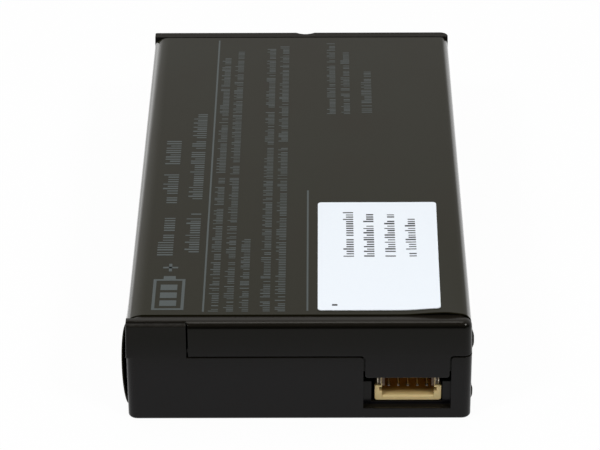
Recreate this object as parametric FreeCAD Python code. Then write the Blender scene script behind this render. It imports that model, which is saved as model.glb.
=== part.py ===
import FreeCAD, Part
import math
import os

# Battery pack of two moulded shells around one flat cell and its circuit board.
# Millimetres. X runs across, Y towards the rear, Z up; the base's centre is the origin.

# Cell and the space around it, which give the case its size
CELL_WIDTH = 34.0
CELL_LENGTH = 50.0
CELL_THICKNESS = 10.5
CELL_EDGE_R = 3.0
CELL_END_R = 0.6
CELL_FIT = 0.15
CELL_REAR_GAP = 0.45
SIDE_BAY = 4.2
BOARD_BAY = 31.95
FLOOR_PAD = 0.6
ROOF_PAD = 1.4

# Shells
WALL = 1.3
FLOOR = 1.0
ROOF = 1.1
PARTING_Z = 9.6
LOWER_DRAFT = 0.2
UPPER_DRAFT = 1.5
CORNER_R = 1.2
INNER_CORNER_R = 0.5
BASE_EDGE_R = 0.35
RIM_EDGE_R = 1.05
KEY_EDGE_R = 0.25
SEAM = 0.25
LIP_THICKNESS = 0.6
LIP_HEIGHT = 0.9
LIP_FIT = 0.1
RIM = 1.6
RIB = 1.0
RIB_COUNT = 4
RIB_END_MARGIN = 6.0
RIB_DROP = 1.5
STOP_HEIGHT = 3.0
STOP_REACH = 10.0
STOP_GAP = 0.7
REAR_NOTCH_WIDTH = 2.8
REAR_NOTCH_X = 0.6
REAR_NOTCH_LENGTH = 1.0
REAR_NOTCH_DEPTH = 0.25

# Ear of the lower shell at the front left corner
EAR_WIDTH = 8.0
EAR_RETURN = 5.0
EAR_DROP = 0.33
EAR_GAP = 0.12
EAR_LEAF = 0.5
EAR_LEAF_HEIGHT = 0.4
EAR_EDGE = 0.33

# Printed film that wraps the top and both sides
FILM = 0.18
FILM_GLUE = 0.02
FILM_FRONT_FIT = 0.5
FILM_REAR_FIT = 0.25
FILM_ROLL_R = 1.2
FILM_END_Z = 1.0
FILM_END_GAP = 0.1
FILM_LEAN = 1.5
FILM_SNUG_BOW = 0.22
FILM_LIFTED_BOW = 0.8

# White sticker on the film
STICKER_WIDTH = 15.8
STICKER_LENGTH = 28.5
STICKER = 0.1
STICKER_R = 0.8
STICKER_INSET = 4.1
STICKER_FRONT_GAP = 1.45

# Five-way socket and the window in front of it
WAYS = 5
PITCH = 1.25
SOCKET_INSET = 8.27
SOCKET_SETBACK = 1.2
SOCKET_DEPTH = 5.2
SOCKET_HEIGHT = 3.85
SOCKET_RISE = 0.58
SOCKET_END = 0.91
SOCKET_SIDE = 0.93
SOCKET_FLOOR = 0.67
SOCKET_ROOF = 0.45
SOCKET_BACK = 0.8
SOCKET_EDGE_R = 0.35
SOCKET_SHOULDER = 2.2
SOCKET_SHOULDER_STEP = 0.3
SOCKET_MOUTH = 0.2
SOCKET_GROOVE_DEPTH = 0.35
SOCKET_GROOVE_HEIGHT = 0.62
SOCKET_GROOVE_RISE = 0.68
SOCKET_FIT = 0.15
NAIL = 0.5
NAIL_SHEET = 0.15
NAIL_FIT = 0.03
NAIL_SETBACK = 0.25
NAIL_LENGTH = 3.6
PIN = 0.32
PIN_FIT = 0.03
PIN_RISE = 1.73
PIN_SETBACK = 0.8
PIN_TIP = 0.25
PIN_LEG_GAP = 0.15
PIN_FOOT = 1.2
PIN_FOOT_HEIGHT = 0.2
SILL_Z = 1.65
WINDOW_WIDTH = 11.2
WINDOW_SHIFT = -0.15
POCKET_DEPTH = 1.1
POCKET_WALL = 0.8
POCKET_GAP = 0.9
TONGUE_LAP = 0.32
TONGUE_CORNER_R = 0.35
FLANGE = 0.6
FLANGE_LAP = 0.8
FLANGE_FIT = 0.1

# Circuit board, its posts and what it carries
BOARD = 1.0
BOARD_SIDE_GAP = 0.6
BOARD_SETBACK = 3.3
BOARD_REAR_GAP = 3.0
BOARD_CORNER_R = 1.0
POST_R = 1.6
POST_PIN_R = 0.75
POST_PIN_FIT = 0.1
POST_PIN_RISE = 0.6
POST_INSET = 3.4
FRONT_POST_INSET = 14.6
HOLD_R = 1.9
HOLD_BORE_R = 1.1
HOLD_GAP = 0.1
GAUGE_LENGTH = 6.5
GAUGE_WIDTH = 4.4
GAUGE_HEIGHT = 1.0
GAUGE_LEAD_COUNT = 10
GAUGE_PITCH = 0.65
SWITCH_LENGTH = 4.9
SWITCH_WIDTH = 3.9
SWITCH_HEIGHT = 1.5
SWITCH_LEAD_COUNT = 4
SWITCH_PITCH = 1.27
GUARD_LENGTH = 2.9
GUARD_WIDTH = 1.6
GUARD_HEIGHT = 1.1
GUARD_LEAD_COUNT = 3
GUARD_PITCH = 0.95
LEAD_REACH = 0.9
LEAD_SHARE = 0.45
LEAD_SHEET = 0.15
BODY_STANDOFF = 0.1
SHUNT_LENGTH = 6.4
SHUNT_WIDTH = 3.2
SHUNT_HEIGHT = 0.6
FUSE_LENGTH = 6.1
FUSE_WIDTH = 2.6
FUSE_HEIGHT = 1.6
FUSE_CAP = 1.2
FUSE_WAIST = 0.2
CHIP_LENGTH = 1.6
CHIP_WIDTH = 0.8
CAPACITOR_HEIGHT = 0.8
RESISTOR_HEIGHT = 0.45
CHIP_SPACING = 2.2
CAPACITOR_COUNT = 6
RESISTOR_COUNT = 8
GAUGE_INSET = 14.6
GUARD_INSET = 15.1
GUARD_SHIFT = 1.0
SWITCH_INSET = 9.6
SWITCH_STEP = 7.0
SWITCH_SHIFT = -5.0
SHUNT_INSET = 7.1
SHUNT_SHIFT = 2.0
FUSE_INSET = 9.6
FUSE_SHIFT = 6.5
CHIP_INSET = 6.6
CAPACITOR_SHIFT = -6.5
RESISTOR_SHIFT = 6.0

# Cell terminal, card, thermal switch and strips
RIVET_R = 1.6
RIVET_HEIGHT = 0.6
CARD = 0.25
CARD_MARGIN = 0.6
CARD_CORNER_R = 2.2
CARD_HOLE_FIT = 0.4
STRIP = 0.15
STRIP_WIDTH = 3.0
STRIP_FOOT = 3.5
POSITIVE_INSET = 8.0
POSITIVE_WELD = 2.6
CUTOFF_LENGTH = 7.5
CUTOFF_WIDTH = 3.4
CUTOFF_THICKNESS = 1.2
CUTOFF_INSET = 13.0
CUTOFF_LIFT = 0.05
NEGATIVE_REACH = 2.5
BEAD_R = 1.3
BEAD_THICKNESS = 1.2
BEAD_EDGE = 0.3
BEAD_INSET = 3.5
BEAD_LEAD_R = 0.2
BEAD_LEAD_SPREAD = 0.6
BEAD_RISE = 1.9
BEAD_LEAD_RUN = 2.6

# Sizes that follow from the ones above
LABEL_RECESS = FILM + FILM_GLUE
WIDTH = CELL_WIDTH + 2 * SIDE_BAY + 2 * WALL
LENGTH = WALL + BOARD_BAY + CELL_LENGTH + CELL_REAR_GAP + WALL
HEIGHT = FLOOR + FLOOR_PAD + CELL_THICKNESS + ROOF_PAD + ROOF + LABEL_RECESS
FRONT_Y = -LENGTH / 2
REAR_Y = LENGTH / 2
ROOF_Z = HEIGHT - LABEL_RECESS - ROOF
EAR_X = EAR_WIDTH - WIDTH / 2
EAR_TOP = HEIGHT - EAR_DROP
EAR_SHOULDER = EAR_TOP - EAR_LEAF_HEIGHT
SOCKET_X = WIDTH / 2 - SOCKET_INSET
SOCKET_HALF = (WAYS - 1) * PITCH / 2 + SOCKET_END + SOCKET_SIDE
SOCKET_Z = SILL_Z + SOCKET_RISE
SOCKET_FRONT = FRONT_Y + SOCKET_SETBACK
SOCKET_REAR = SOCKET_FRONT + SOCKET_DEPTH
BOARD_Z = SOCKET_Z + SOCKET_HEIGHT
BOARD_TOP = BOARD_Z + BOARD
BOARD_HALF = WIDTH / 2 - WALL - BOARD_SIDE_GAP
BOARD_FRONT = FRONT_Y + BOARD_SETBACK
TONGUE_Z = BOARD_Z + TONGUE_LAP
WINDOW_X = SOCKET_X + WINDOW_SHIFT
WINDOW_HALF = WINDOW_WIDTH / 2
CELL_REAR = REAR_Y - WALL - CELL_REAR_GAP
CELL_FRONT = CELL_REAR - CELL_LENGTH
CELL_Z = FLOOR + FLOOR_PAD
CELL_TOP = CELL_Z + CELL_THICKNESS
TERMINAL_Z = CELL_Z + CELL_THICKNESS / 2
BOARD_REAR = CELL_FRONT - BOARD_REAR_GAP
BOARD_Y = (BOARD_FRONT + BOARD_REAR) / 2
CARD_FRONT = CELL_FRONT - CARD
RIVET_FRONT = CELL_FRONT - RIVET_HEIGHT
GAUGE_X = GAUGE_INSET - BOARD_HALF
CHIP_X = CHIP_INSET - BOARD_HALF
GUARD_X = BOARD_HALF - GUARD_INSET
SWITCH_X = BOARD_HALF - SWITCH_INSET
SHUNT_X = BOARD_HALF - SHUNT_INSET
FUSE_X = BOARD_HALF - FUSE_INSET
POSITIVE_X = POSITIVE_INSET - CELL_WIDTH / 2
BEAD_X = BEAD_INSET - CELL_WIDTH / 2
CUTOFF_X = CELL_WIDTH / 2 - CUTOFF_INSET
OUTSIDE = 5.0


def box(x, y, z):
    """Block between a low and a high limit on each axis."""
    return Part.makeBox(x[1] - x[0], y[1] - y[0], z[1] - z[0], FreeCAD.Vector(x[0], y[0], z[0]))


def about(centre, half):
    """Low and high limit at equal distances from a centre."""
    return centre - half, centre + half


def rounded_wire(corners):
    """Closed wire through (point, radius) corners, each one rounded by a tangent arc."""
    turns = []
    for index, (at, radius) in enumerate(corners):
        back = (corners[index - 1][0] - at).normalize()
        ahead = (corners[(index + 1) % len(corners)][0] - at).normalize()
        if radius == 0:
            turns.append((at, None, at))
            continue
        half_angle = back.getAngle(ahead) / 2
        inward = (back + ahead).normalize()
        reach = radius / math.tan(half_angle)
        crown = at + inward * (radius / math.sin(half_angle) - radius)
        turns.append((at + back * reach, crown, at + ahead * reach))
    edges = []
    for index, (start, crown, end) in enumerate(turns):
        if crown is not None:
            edges.append(Part.Arc(start, crown, end).toShape())
        edges.append(Part.LineSegment(end, turns[(index + 1) % len(turns)][0]).toShape())
    return Part.Wire(edges)


def plan_prism(corners, low, high):
    """Upright prism from rounded (x, y, radius) corners."""
    wire = rounded_wire([(FreeCAD.Vector(x, y, low), radius) for x, y, radius in corners])
    return Part.Face(wire).extrude(FreeCAD.Vector(0, 0, high - low))


def front_prism(corners, front, rear):
    """Prism along Y from rounded (x, z, radius) corners."""
    wire = rounded_wire([(FreeCAD.Vector(x, front, z), radius) for x, z, radius in corners])
    return Part.Face(wire).extrude(FreeCAD.Vector(0, rear - front, 0))


def side_prism(corners, left, right):
    """Prism along X from rounded (y, z, radius) corners."""
    wire = rounded_wire([(FreeCAD.Vector(left, y, z), radius) for y, z, radius in corners])
    return Part.Face(wire).extrude(FreeCAD.Vector(right - left, 0, 0))


def rectangle(first, second, radius):
    """Corners of a rectangle between two pairs of limits, all with one radius."""
    low_a, high_a = first
    low_b, high_b = second
    places = [(low_a, low_b), (high_a, low_b), (high_a, high_b), (low_a, high_b)]
    return [(a, b, radius) for a, b in places]


def upright(x, y, radius, low, high):
    """Round post."""
    return Part.makeCylinder(radius, high - low, FreeCAD.Vector(x, y, low))


def lean(z):
    """How far a drafted wall has come in at a height, from its widest line at the parting plane."""
    draft = UPPER_DRAFT if z > PARTING_Z else LOWER_DRAFT
    return abs(z - PARTING_Z) * math.tan(math.radians(draft))


def case_half(z):
    """Half of the case's width at a height."""
    return WIDTH / 2 - lean(z)


def uprights(shape, height, side):
    """Edges on one side of the case that rise through most of a height."""
    return [e for e in shape.Edges if e.BoundBox.ZLength > height / 2 and e.CenterOfMass.x * side > 0]


def case_block(low, high, left_r, right_r):
    """Drafted block of the case's plan between two heights, with round corners."""
    low_x, high_x = case_half(low), case_half(high)
    low_y, high_y = [LENGTH / 2 - lean(z) for z in (low, high)]
    block = Part.makeWedge(-low_x, low, -low_y, -high_y, -high_x, low_x, high, low_y, high_y, high_x)
    block.rotate(FreeCAD.Vector(), FreeCAD.Vector(1, 0, 0), 90)
    for radius, side in ((left_r, -1), (right_r, 1)):
        if radius > 0:
            block = block.makeFillet(radius, uprights(block, high - low, side))
    return block


def case_core(inset, low, high):
    """Straight prism of the plan at the parting plane, set in, for the hollows and the joint's lip."""
    half_x = about(0, WIDTH / 2 - inset)
    half_y = about(0, LENGTH / 2 - inset)
    return plan_prism(rectangle(half_x, half_y, INNER_CORNER_R), low, high)


def edges_at(shape, z):
    """Edges that lie in one level plane."""
    return [edge for edge in shape.Edges if all(abs(v.Z - z) < SEAM / 100 for v in edge.Vertexes)]


def on_left(edge):
    """Whether an edge lies wholly on the left side of the case."""
    return all(v.X < EAR_X - EAR_WIDTH / 2 for v in edge.Vertexes)


def panel_half(z):
    """Half of the width between the sunk panels for the film, which lean in all the way up."""
    return case_half(FILM_END_Z) - LABEL_RECESS - (z - FILM_END_Z) * math.tan(math.radians(FILM_LEAN))


def label_core():
    """What the film lies on: the case's section inside the sunk panel, rolled at both top edges."""
    top = HEIGHT - LABEL_RECESS
    right = [(panel_half(FILM_END_Z), FILM_END_Z, 0), (panel_half(top), top, FILM_ROLL_R)]
    left = [(-x, z, radius) for x, z, radius in reversed(right)]
    return front_prism(right + left, FRONT_Y + RIM, REAR_Y - RIM)


def label_panel():
    """The shallow space around the case, between the end rims, that takes the film."""
    room = box(about(0, WIDTH / 2 + OUTSIDE), about(0, LENGTH / 2 - RIM), (FILM_END_Z, HEIGHT + OUTSIDE))
    return room.cut(label_core())


def upper_block():
    """Outside of the upper shell: its front half ends level with the panel, and only the left is square."""
    block = case_block(PARTING_Z + SEAM / 2, HEIGHT, 0, CORNER_R)
    top = HEIGHT - LABEL_RECESS
    low = case_block(PARTING_Z + SEAM / 2, top, 0, CORNER_R)
    soft = low.makeFillet(RIM_EDGE_R, [edge for edge in edges_at(low, top) if not on_left(edge)])
    front_half = box(about(0, WIDTH), (-LENGTH, 0), (0, 2 * HEIGHT))
    block = soft.common(front_half).fuse(block.cut(front_half)).removeSplitter()
    keyed = [edge for edge in uprights(block, HEIGHT - PARTING_Z, -1) if edge.BoundBox.YMin > 0]
    return block.makeFillet(KEY_EDGE_R, keyed)


def ear_block():
    """Corner of the lower shell that rises beside the upper shell, round the front left corner."""
    block = case_block(PARTING_Z - SEAM / 2, EAR_TOP, 0, 0)
    front_top = [edge for edge in edges_at(block, EAR_TOP) if edge.BoundBox.YMax < 0]
    block = block.makeChamfer(EAR_EDGE, front_top)
    block = block.makeFillet(KEY_EDGE_R, uprights(block, EAR_TOP - PARTING_Z, -1))
    block = block.cut(case_core(WALL, PARTING_Z - SEAM, HEIGHT))
    corner = box((-WIDTH, EAR_X - SEAM / 2), (FRONT_Y - OUTSIDE, FRONT_Y + EAR_RETURN), (0, HEIGHT))
    behind = (FRONT_Y + EAR_LEAF, FRONT_Y + EAR_RETURN + SEAM)
    return block.common(corner).cut(box((-WIDTH, EAR_X), behind, (EAR_SHOULDER, HEIGHT)))


def ear_relief():
    """Room that the upper shell leaves for the ear, with the plate above it set back behind the leaf."""
    side = (-WIDTH, EAR_X + SEAM / 2)
    room = box(side, (FRONT_Y - OUTSIDE, FRONT_Y + EAR_RETURN + SEAM), (0, EAR_SHOULDER + EAR_GAP))
    leaf = (FRONT_Y - OUTSIDE, FRONT_Y + EAR_LEAF + EAR_GAP)
    return room.fuse(box(side, leaf, (0, HEIGHT + OUTSIDE)))


def rib_stations():
    """Places of the ribs along the cell."""
    first = CELL_FRONT + RIB_END_MARGIN
    step = (CELL_LENGTH - 2 * RIB_END_MARGIN) / (RIB_COUNT - 1)
    return [first + index * step for index in range(RIB_COUNT)]


def cell_ribs(low, high):
    """Ribs from both side walls that hold the cell in the middle."""
    inner = CELL_WIDTH / 2 + CELL_FIT
    outer = WIDTH / 2 - WALL / 2 - LABEL_RECESS
    ribs = []
    for y in rib_stations():
        for limits in ((inner, outer), (-outer, -inner)):
            ribs.append(box(limits, about(y, RIB / 2), (low, high)))
    return ribs


def post_places():
    """The board's four posts, clear of the socket at the front right."""
    left = POST_INSET - BOARD_HALF
    right = BOARD_HALF - POST_INSET
    front = BOARD_FRONT + POST_INSET
    rear = BOARD_REAR - POST_INSET
    return [(left, front), (right - FRONT_POST_INSET, front), (left, rear), (right, rear)]


def window(half, low, high, depth):
    """Block through the front wall at the socket's window."""
    return box(about(WINDOW_X, half), (FRONT_Y - OUTSIDE, FRONT_Y + depth), (low, high))


def open_window(depth):
    """Room that the lower shell leaves from the window's sill upwards."""
    return window(WINDOW_HALF + SEAM / 2, SILL_Z, HEIGHT, depth)


def is_notch_side(edge):
    """Whether an edge runs back from the front along one side of the window."""
    bounds = edge.BoundBox
    reach = FRONT_Y + POCKET_DEPTH + POCKET_WALL + SEAM
    return bounds.YMax < reach and bounds.XLength < SEAM and bounds.YLength > WALL


def socket_pocket():
    """Wall set back in the window, with a gap that the socket drops into from above."""
    outer = box(
        about(WINDOW_X, WINDOW_HALF + SEAM / 2 + POCKET_WALL),
        (FRONT_Y + WALL / 2, FRONT_Y + POCKET_DEPTH + POCKET_WALL),
        (FLOOR / 2, BOARD_Z - POCKET_GAP),
    )
    socket_room = box(
        about(WINDOW_X, SOCKET_HALF - WINDOW_SHIFT + SOCKET_FIT),
        (FRONT_Y, FRONT_Y + POCKET_DEPTH + POCKET_WALL + OUTSIDE),
        (SOCKET_Z - SOCKET_FIT, HEIGHT),
    )
    return outer.cut(socket_room).cut(open_window(POCKET_DEPTH))


def make_lower_case():
    shell = case_block(0, PARTING_Z - SEAM / 2, CORNER_R, CORNER_R)
    shell = shell.makeFillet(BASE_EDGE_R, edges_at(shell, 0))
    through = open_window(POCKET_DEPTH + POCKET_WALL)
    shell = shell.cut(through)
    brow = [edge for edge in edges_at(shell, PARTING_Z - SEAM / 2) if is_notch_side(edge)]
    shell = shell.makeFillet(TONGUE_CORNER_R, brow)
    shell = shell.fuse(case_core(WALL - LIP_THICKNESS, PARTING_Z - LIP_HEIGHT, PARTING_Z + LIP_HEIGHT))
    shell = shell.cut(case_core(WALL, FLOOR, HEIGHT)).cut(through)
    inside = cell_ribs(FLOOR / 2, PARTING_Z - RIB_DROP)
    for side in (-1, 1):
        across = sorted((side * CELL_WIDTH / 2, side * (CELL_WIDTH / 2 - STOP_REACH)))
        stop = (CELL_FRONT - STOP_GAP - RIB, CELL_FRONT - STOP_GAP)
        inside.append(box(across, stop, (FLOOR / 2, FLOOR + STOP_HEIGHT)))
    for x, y in post_places():
        inside.append(upright(x, y, POST_R, FLOOR / 2, BOARD_Z))
        inside.append(upright(x, y, POST_PIN_R, FLOOR / 2, BOARD_TOP + POST_PIN_RISE))
    shell = shell.multiFuse(inside + [ear_block(), socket_pocket()])
    return shell.cut(label_panel()).removeSplitter()


def tongue():
    """Part of the upper shell's front wall that comes down over the socket."""
    block = case_block(TONGUE_Z, PARTING_Z + 2 * SEAM, CORNER_R, CORNER_R)
    block = block.cut(case_core(WALL, TONGUE_Z, HEIGHT))
    left, right = about(WINDOW_X, WINDOW_HALF - SEAM / 2)
    root = PARTING_Z + SEAM / 2
    root_r = TONGUE_CORNER_R + SEAM
    corners = [(left, TONGUE_Z, TONGUE_CORNER_R), (right, TONGUE_Z, TONGUE_CORNER_R)]
    straight = corners + [(right, root + SEAM, 0), (left, root + SEAM, 0)]
    far_left, far_right = about(WINDOW_X, WINDOW_HALF + 2 * root_r)
    flared = corners + [(right, root, root_r), (far_right, root, 0), (far_right, root + SEAM, 0)]
    flared += [(far_left, root + SEAM, 0), (far_left, root, 0), (left, root, root_r)]
    skirt = WALL - LIP_THICKNESS - LIP_FIT
    whole = front_prism(straight, FRONT_Y - OUTSIDE, FRONT_Y + WALL + OUTSIDE)
    return block.common(whole.fuse(front_prism(flared, FRONT_Y - OUTSIDE, FRONT_Y + skirt)))


def tongue_flange(side):
    """Rib behind one edge of the tongue that laps the window's jamb from inside and closes the gap."""
    edge = WINDOW_X + side * (WINDOW_HALF - SEAM / 2)
    root = edge - side * FLANGE_LAP
    tip = edge + side * (SEAM + FLANGE_LAP)
    front = FRONT_Y + WALL + FLANGE_FIT
    rear = front + FLANGE
    plan = [(root, FRONT_Y + WALL / 2), (edge, FRONT_Y + WALL / 2), (edge, front), (tip, front)]
    plan += [(tip, rear), (root, rear)]
    return plan_prism([(x, y, 0) for x, y in plan], TONGUE_Z + FLANGE_FIT, PARTING_Z + LIP_HEIGHT + LIP_FIT)


def rear_notch():
    """Shallow scoop in the rear rim for a fingernail."""
    half = REAR_NOTCH_WIDTH / 2
    radius = (half * half + REAR_NOTCH_DEPTH * REAR_NOTCH_DEPTH) / (2 * REAR_NOTCH_DEPTH)
    start = REAR_Y - lean(HEIGHT) - REAR_NOTCH_LENGTH
    middle = FreeCAD.Vector(REAR_NOTCH_X, start, HEIGHT - REAR_NOTCH_DEPTH + radius)
    return Part.makeCylinder(radius, REAR_NOTCH_LENGTH + OUTSIDE, middle, FreeCAD.Vector(0, 1, 0))


def make_upper_case():
    shell = upper_block().cut(case_core(WALL, PARTING_Z, ROOF_Z))
    rebate = case_core(WALL - LIP_THICKNESS - LIP_FIT, PARTING_Z, PARTING_Z + LIP_HEIGHT + LIP_FIT)
    shell = shell.cut(rebate.cut(window(WINDOW_HALF - SEAM / 2, 0, HEIGHT, WALL)))
    inside = cell_ribs(PARTING_Z + LIP_HEIGHT + LIP_FIT + SEAM, ROOF_Z + ROOF / 2)
    for x, y in post_places():
        hold = upright(x, y, HOLD_R, BOARD_TOP + HOLD_GAP, ROOF_Z + ROOF / 2)
        inside.append(hold.cut(upright(x, y, HOLD_BORE_R, BOARD_TOP, ROOF_Z)))
    inside += [tongue(), tongue_flange(-1), tongue_flange(1)]
    shell = shell.cut(ear_relief()).multiFuse(inside)
    return shell.cut(rear_notch()).cut(label_panel()).removeSplitter()


def film_side(offset, bow):
    """Points of one side of the film, from its lower end up to the top: a bowed side and a rolled edge."""
    draft = math.radians(FILM_LEAN)
    top = HEIGHT - LABEL_RECESS
    top_x = panel_half(top)
    roll = FILM_ROLL_R + offset
    centre_x = top_x - FILM_ROLL_R * (1 - math.sin(draft)) / math.cos(draft)
    centre_z = top - FILM_ROLL_R
    halfway = (draft + math.pi / 2) / 2
    end = (panel_half(FILM_END_Z) + offset, FILM_END_Z + FILM_END_GAP)
    start = (centre_x + roll * math.cos(draft), centre_z + roll * math.sin(draft))
    middle = ((end[0] + start[0]) / 2 + bow, (end[1] + start[1]) / 2)
    crown = (centre_x + roll * math.cos(halfway), centre_z + roll * math.sin(halfway))
    return [end, middle, start, crown, (centre_x, top + offset)]


def film_section(y, left_bow, right_bow):
    """Closed section of the film across the pack."""
    def at(point, side):
        return FreeCAD.Vector(side * point[0], y, point[1])

    edges = []
    faces = []
    for offset in (FILM_GLUE, FILM_GLUE + FILM):
        left = [at(point, -1) for point in film_side(offset, left_bow)]
        right = [at(point, 1) for point in film_side(offset, right_bow)]
        edges.append(Part.Arc(*left[0:3]).toShape())
        edges.append(Part.Arc(*left[2:5]).toShape())
        edges.append(Part.LineSegment(left[4], right[4]).toShape())
        edges.append(Part.Arc(*right[2:5]).toShape())
        edges.append(Part.Arc(*right[0:3]).toShape())
        faces.append((left[0], right[0]))
    for inner, outer in zip(*faces):
        edges.append(Part.LineSegment(inner, outer).toShape())
    return Part.Wire(Part.__sortEdges__(edges))


def make_wrap_label():
    ends = (FRONT_Y + RIM + FILM_FRONT_FIT, REAR_Y - RIM - FILM_REAR_FIT)
    front = film_section(ends[0], FILM_LIFTED_BOW, FILM_SNUG_BOW)
    rear = film_section(ends[1], FILM_SNUG_BOW, FILM_SNUG_BOW)
    return Part.makeLoft([front, rear], True, True)


def make_part_sticker():
    right = WIDTH / 2 - STICKER_INSET
    front = FRONT_Y + RIM + STICKER_FRONT_GAP
    across = (right - STICKER_WIDTH, right)
    along = (front, front + STICKER_LENGTH)
    return plan_prism(rectangle(across, along, STICKER_R), HEIGHT, HEIGHT + STICKER)


def pin_places():
    """Middle of each contact across the socket."""
    return [SOCKET_X + (index - (WAYS - 1) / 2) * PITCH for index in range(WAYS)]


def make_socket_housing():
    shoulder = SOCKET_Z + SOCKET_SHOULDER
    top = SOCKET_Z + SOCKET_HEIGHT
    narrow = SOCKET_HALF - SOCKET_SHOULDER_STEP - NAIL - NAIL_FIT
    lower = rectangle(about(SOCKET_X, SOCKET_HALF), (SOCKET_Z, shoulder), 0)
    lower = [(x, z, SOCKET_EDGE_R if z == SOCKET_Z else 0) for x, z, _ in lower]
    body = front_prism(lower, SOCKET_FRONT, SOCKET_REAR)
    body = body.fuse(box(about(SOCKET_X, narrow), (SOCKET_FRONT, SOCKET_REAR), (shoulder, top)))
    depth = (SOCKET_FRONT, SOCKET_REAR - SOCKET_BACK)
    cavity_half = SOCKET_HALF - SOCKET_SIDE
    floor = SOCKET_Z + SOCKET_FLOOR
    body = body.cut(box(about(SOCKET_X, cavity_half), depth, (floor, shoulder)))
    body = body.cut(box(about(SOCKET_X, narrow - SOCKET_ROOF), depth, (floor, top - SOCKET_ROOF)))
    groove = floor + SOCKET_GROOVE_RISE
    groove_half = cavity_half + SOCKET_GROOVE_DEPTH
    body = body.cut(box(about(SOCKET_X, groove_half), depth, (groove, groove + SOCKET_GROOVE_HEIGHT)))
    ramp = [(SOCKET_FRONT, floor - SOCKET_MOUTH, 0), (SOCKET_FRONT + SOCKET_MOUTH, floor, 0)]
    ramp += [(SOCKET_FRONT, floor, 0)]
    body = body.cut(side_prism(ramp, SOCKET_X - cavity_half, SOCKET_X + cavity_half))
    hole = PIN / 2 + PIN_FIT
    for x in pin_places():
        back = (SOCKET_REAR - SOCKET_BACK, SOCKET_REAR)
        body = body.cut(box(about(x, hole), back, about(SOCKET_Z + PIN_RISE, hole)))
    return body.removeSplitter()


def make_socket_pins():
    middle = SOCKET_Z + PIN_RISE
    half = PIN / 2
    tip = SOCKET_FRONT + PIN_SETBACK
    leg = SOCKET_REAR + PIN_LEG_GAP
    foot_z = BOARD_Z - PIN_FOOT_HEIGHT
    profile = [(tip, middle - half / 2), (tip + PIN_TIP, middle - half), (leg + PIN, middle - half)]
    profile += [(leg + PIN, foot_z), (leg + PIN + PIN_FOOT, foot_z), (leg + PIN + PIN_FOOT, BOARD_Z)]
    profile += [(leg, BOARD_Z), (leg, middle + half)]
    profile += [(tip + PIN_TIP, middle + half), (tip, middle + half / 2)]
    corners = [(y, z, 0) for y, z in profile]
    return Part.makeCompound([side_prism(corners, x - half, x + half) for x in pin_places()])


def make_socket_nails():
    outer = SOCKET_HALF - SOCKET_SHOULDER_STEP
    along = (SOCKET_FRONT + NAIL_SETBACK, SOCKET_FRONT + NAIL_SETBACK + NAIL_LENGTH)
    height = (SOCKET_Z + SOCKET_SHOULDER + NAIL_FIT, BOARD_Z)
    fold = (along[0], along[1] - NAIL_SHEET)
    nails = []
    for middle in about(SOCKET_X, outer - NAIL / 2):
        nail = box(about(middle, NAIL / 2), along, height)
        nails.append(nail.cut(box(about(middle, NAIL / 2 - NAIL_SHEET), fold, height)))
    return Part.makeCompound(nails)


def make_circuit_board():
    outline = rectangle(about(0, BOARD_HALF), (BOARD_FRONT, BOARD_REAR), BOARD_CORNER_R)
    board = plan_prism(outline, BOARD_Z, BOARD_TOP)
    for x, y in post_places():
        board = board.cut(upright(x, y, POST_PIN_R + POST_PIN_FIT, BOARD_Z - BOARD, BOARD_TOP + BOARD))
    return board


def leaded_chip(x, y, length, width, height, leads, pitch):
    """Moulded chip with bent leads along its two long sides, standing on the board."""
    low = BOARD_TOP + BODY_STANDOFF
    waist = low + height / 2
    slope = height / 8
    half = width / 2
    section = [(y - half + slope, low, 0), (y - half, waist, 0), (y - half + slope, low + height, 0)]
    section += [(y + half - slope, low + height, 0), (y + half, waist, 0), (y + half - slope, low, 0)]
    pieces = [side_prism(section, x - length / 2, x + length / 2)]
    lead_half = pitch * LEAD_SHARE / 2
    knee = LEAD_REACH / 2
    for index in range(leads):
        lead_x = x + (index - (leads - 1) / 2) * pitch
        for side in (-1, 1):
            root = y + side * (half - slope)
            bend = y + side * (half + knee)
            toe = y + side * (half + LEAD_REACH)
            path = [(root, waist), (bend, waist), (bend, BOARD_TOP), (toe, BOARD_TOP)]
            path += [(toe, BOARD_TOP + LEAD_SHEET), (bend + side * LEAD_SHEET, BOARD_TOP + LEAD_SHEET)]
            path += [(bend + side * LEAD_SHEET, waist + LEAD_SHEET), (root, waist + LEAD_SHEET)]
            pieces.append(side_prism([(a, b, 0) for a, b in path], lead_x - lead_half, lead_x + lead_half))
    return pieces[0].multiFuse(pieces[1:]).removeSplitter()


def make_gauge_chip():
    size = (GAUGE_LENGTH, GAUGE_WIDTH, GAUGE_HEIGHT, GAUGE_LEAD_COUNT, GAUGE_PITCH)
    return leaded_chip(GAUGE_X, BOARD_Y, *size)


def make_protection_chip():
    size = (GUARD_LENGTH, GUARD_WIDTH, GUARD_HEIGHT, GUARD_LEAD_COUNT, GUARD_PITCH)
    return leaded_chip(GUARD_X, BOARD_Y + GUARD_SHIFT, *size)


def make_protection_fets():
    size = (SWITCH_LENGTH, SWITCH_WIDTH, SWITCH_HEIGHT, SWITCH_LEAD_COUNT, SWITCH_PITCH)
    y = BOARD_Y + SWITCH_SHIFT
    return Part.makeCompound([leaded_chip(x, y, *size) for x in (SWITCH_X - SWITCH_STEP, SWITCH_X)])


def make_sense_resistor():
    across = about(SHUNT_X, SHUNT_LENGTH / 2)
    along = about(BOARD_Y + SHUNT_SHIFT, SHUNT_WIDTH / 2)
    return box(across, along, (BOARD_TOP, BOARD_TOP + SHUNT_HEIGHT))


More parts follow.
